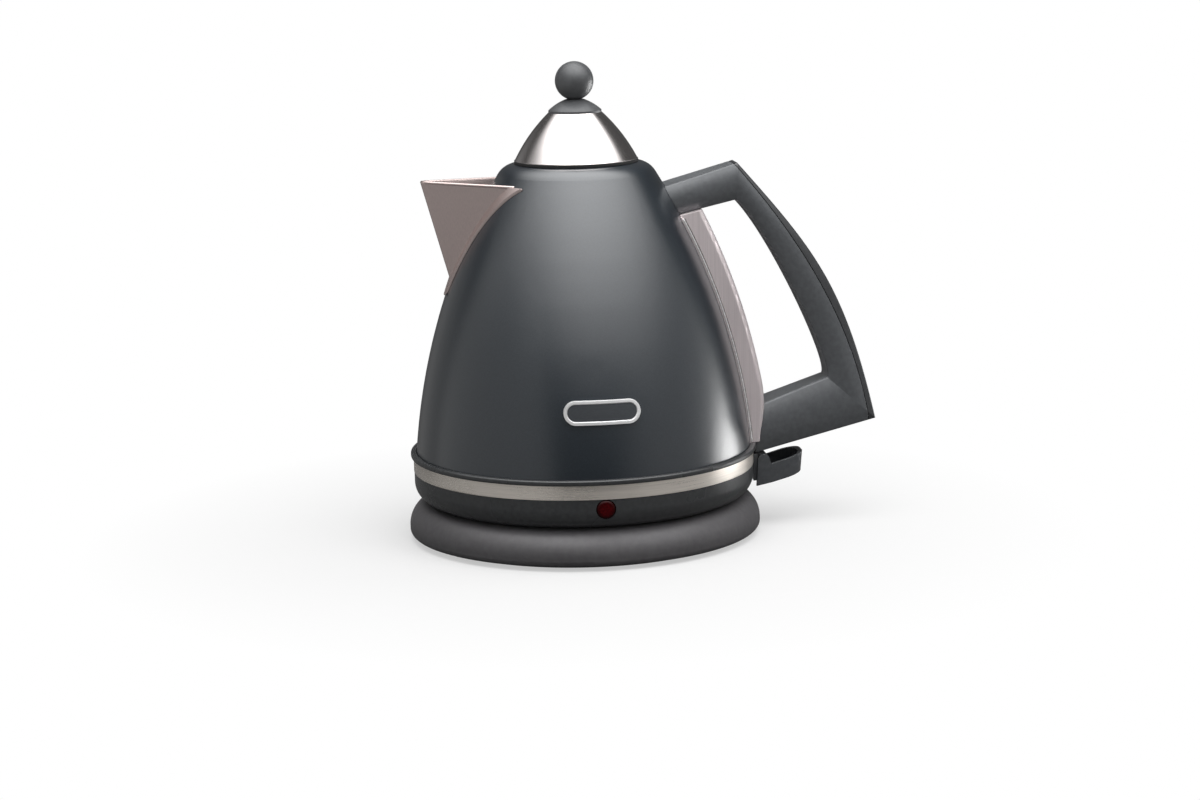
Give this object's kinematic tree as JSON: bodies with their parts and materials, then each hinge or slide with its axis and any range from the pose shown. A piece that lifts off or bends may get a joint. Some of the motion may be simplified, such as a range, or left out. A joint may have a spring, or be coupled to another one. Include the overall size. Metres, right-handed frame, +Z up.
{
  "type": "electric kettle",
  "caption": "Cordless electric kettle: bell-shaped painted body, V-shaped spout, D-shaped handle, lift-off cone lid with ball knob, rear switch lever, on a round power base.",
  "frame": {"origin": "on the floor, on the upright axis of the power base and the kettle", "axes": "+Z up, +X towards the handle, -X towards the spout, -Y towards the red lens and the oval plate, +Y towards the cord gland"},
  "size_m": [0.2348, 0.175, 0.2343],
  "materials": {
    "shell_paint": "satin",
    "lid_chrome": "polished",
    "knob_satin": "satin",
    "spout_steel": "satin",
    "spine_steel": "satin",
    "trim_steel": "brushed",
    "plate_metal": "satin",
    "handle_plastic": "fine grain",
    "handle_strip": "gloss",
    "skirt_plastic": "fine grain",
    "switch_plastic": "fine grain",
    "base_plastic": "fine grain",
    "socket_plastic": "moulded",
    "lens_red": "polished",
    "lamp_glass": "clear",
    "rubber_black": "matt",
    "silicone": "matt",
    "gauge_clear": "clear",
    "filter_plastic": "moulded",
    "filter_steel": "woven",
    "inner_steel": "mill",
    "heat_aluminium": "mill",
    "control_plastic": "moulded",
    "contact_brass": "plated",
    "screw_steel": "plated",
    "lid_plastic": "moulded"
  },
  "bodies": {
    "power_base": {"base_cover": "base_plastic", "base_bottom": "base_plastic", "foot_ring": "rubber_black", "base_screws": "screw_steel", "base_socket": "socket_plastic", "socket_earth_contact": "contact_brass", "socket_live_contact": "contact_brass", "socket_neutral_contact": "contact_brass", "cord_gland": "rubber_black"},
    "shutter": {"shutter_ring": "socket_plastic"},
    "kettle": {"body_shell": "shell_paint", "spout": "spout_steel", "spine": "spine_steel", "gauge_window": "gauge_clear", "gauge_seal": "rubber_black", "steam_tube": "silicone", "handle_frame": "handle_plastic", "handle_cover": "handle_strip", "handle_screws": "screw_steel", "name_plate": "plate_metal", "lower_skirt": "skirt_plastic", "trim_band": "trim_steel", "indicator_lens": "lens_red", "indicator_lamp": "lamp_glass", "lamp_holder": "control_plastic", "element_plate": "inner_steel", "element_seal": "silicone", "diffuser_plate": "heat_aluminium", "heating_element": "inner_steel", "control_body": "control_plastic", "earth_pin": "contact_brass", "live_ring": "contact_brass", "neutral_ring": "contact_brass", "bimetal_discs": "contact_brass", "control_screws": "screw_steel", "bottom_cover": "skirt_plastic", "bottom_screws": "screw_steel", "rocker_pin": "screw_steel", "switch_housing": "switch_plastic", "switch_pin": "screw_steel"},
    "switch": {"switch_lever": "switch_plastic"},
    "rocker": {"trip_rocker": "control_plastic"},
    "lid": {"lid_cone": "lid_chrome", "lid_plug": "lid_plastic", "lid_seal": "rubber_black", "lid_collar": "knob_satin", "lid_knob": "knob_satin", "lid_screw": "screw_steel"},
    "filter": {"filter_frame": "filter_plastic", "filter_mesh": "filter_steel"}
  },
  "joints": [
    {"name": "swivel", "type": "hinge", "parent": "power_base", "child": "shutter", "pos_m": [0, 0, 0.026], "axis": [0, 0, 1], "continuous": true},
    {"name": "kettle_lift", "type": "slide", "parent": "shutter", "child": "kettle", "axis": [0, 0, 1], "range_m": [0, 0.071]},
    {"name": "lid_lift", "type": "slide", "parent": "kettle", "child": "lid", "axis": [0, 0, 1], "range_m": [0, 0.05]},
    {"name": "filter_pull", "type": "slide", "parent": "kettle", "child": "filter", "axis": [1, 0, 0], "range_m": [0, 0.012]},
    {"name": "switch_press", "type": "hinge", "parent": "kettle", "child": "switch", "pos_m": [0.0893, 0, 0.0337], "axis": [0, 1, 0], "range_deg": [0, 12], "stiffness_Nm_per_rad": 0.05},
    {"name": "rocker_turn", "type": "hinge", "parent": "kettle", "child": "rocker", "pos_m": [0.057, 0, 0.0301], "axis": [0, 1, 0], "range_deg": [-12, 0]}
  ],
  "couplings": [
    {"joint": "rocker_turn", "follows": "switch_press", "ratio": -0.8}
  ]
}
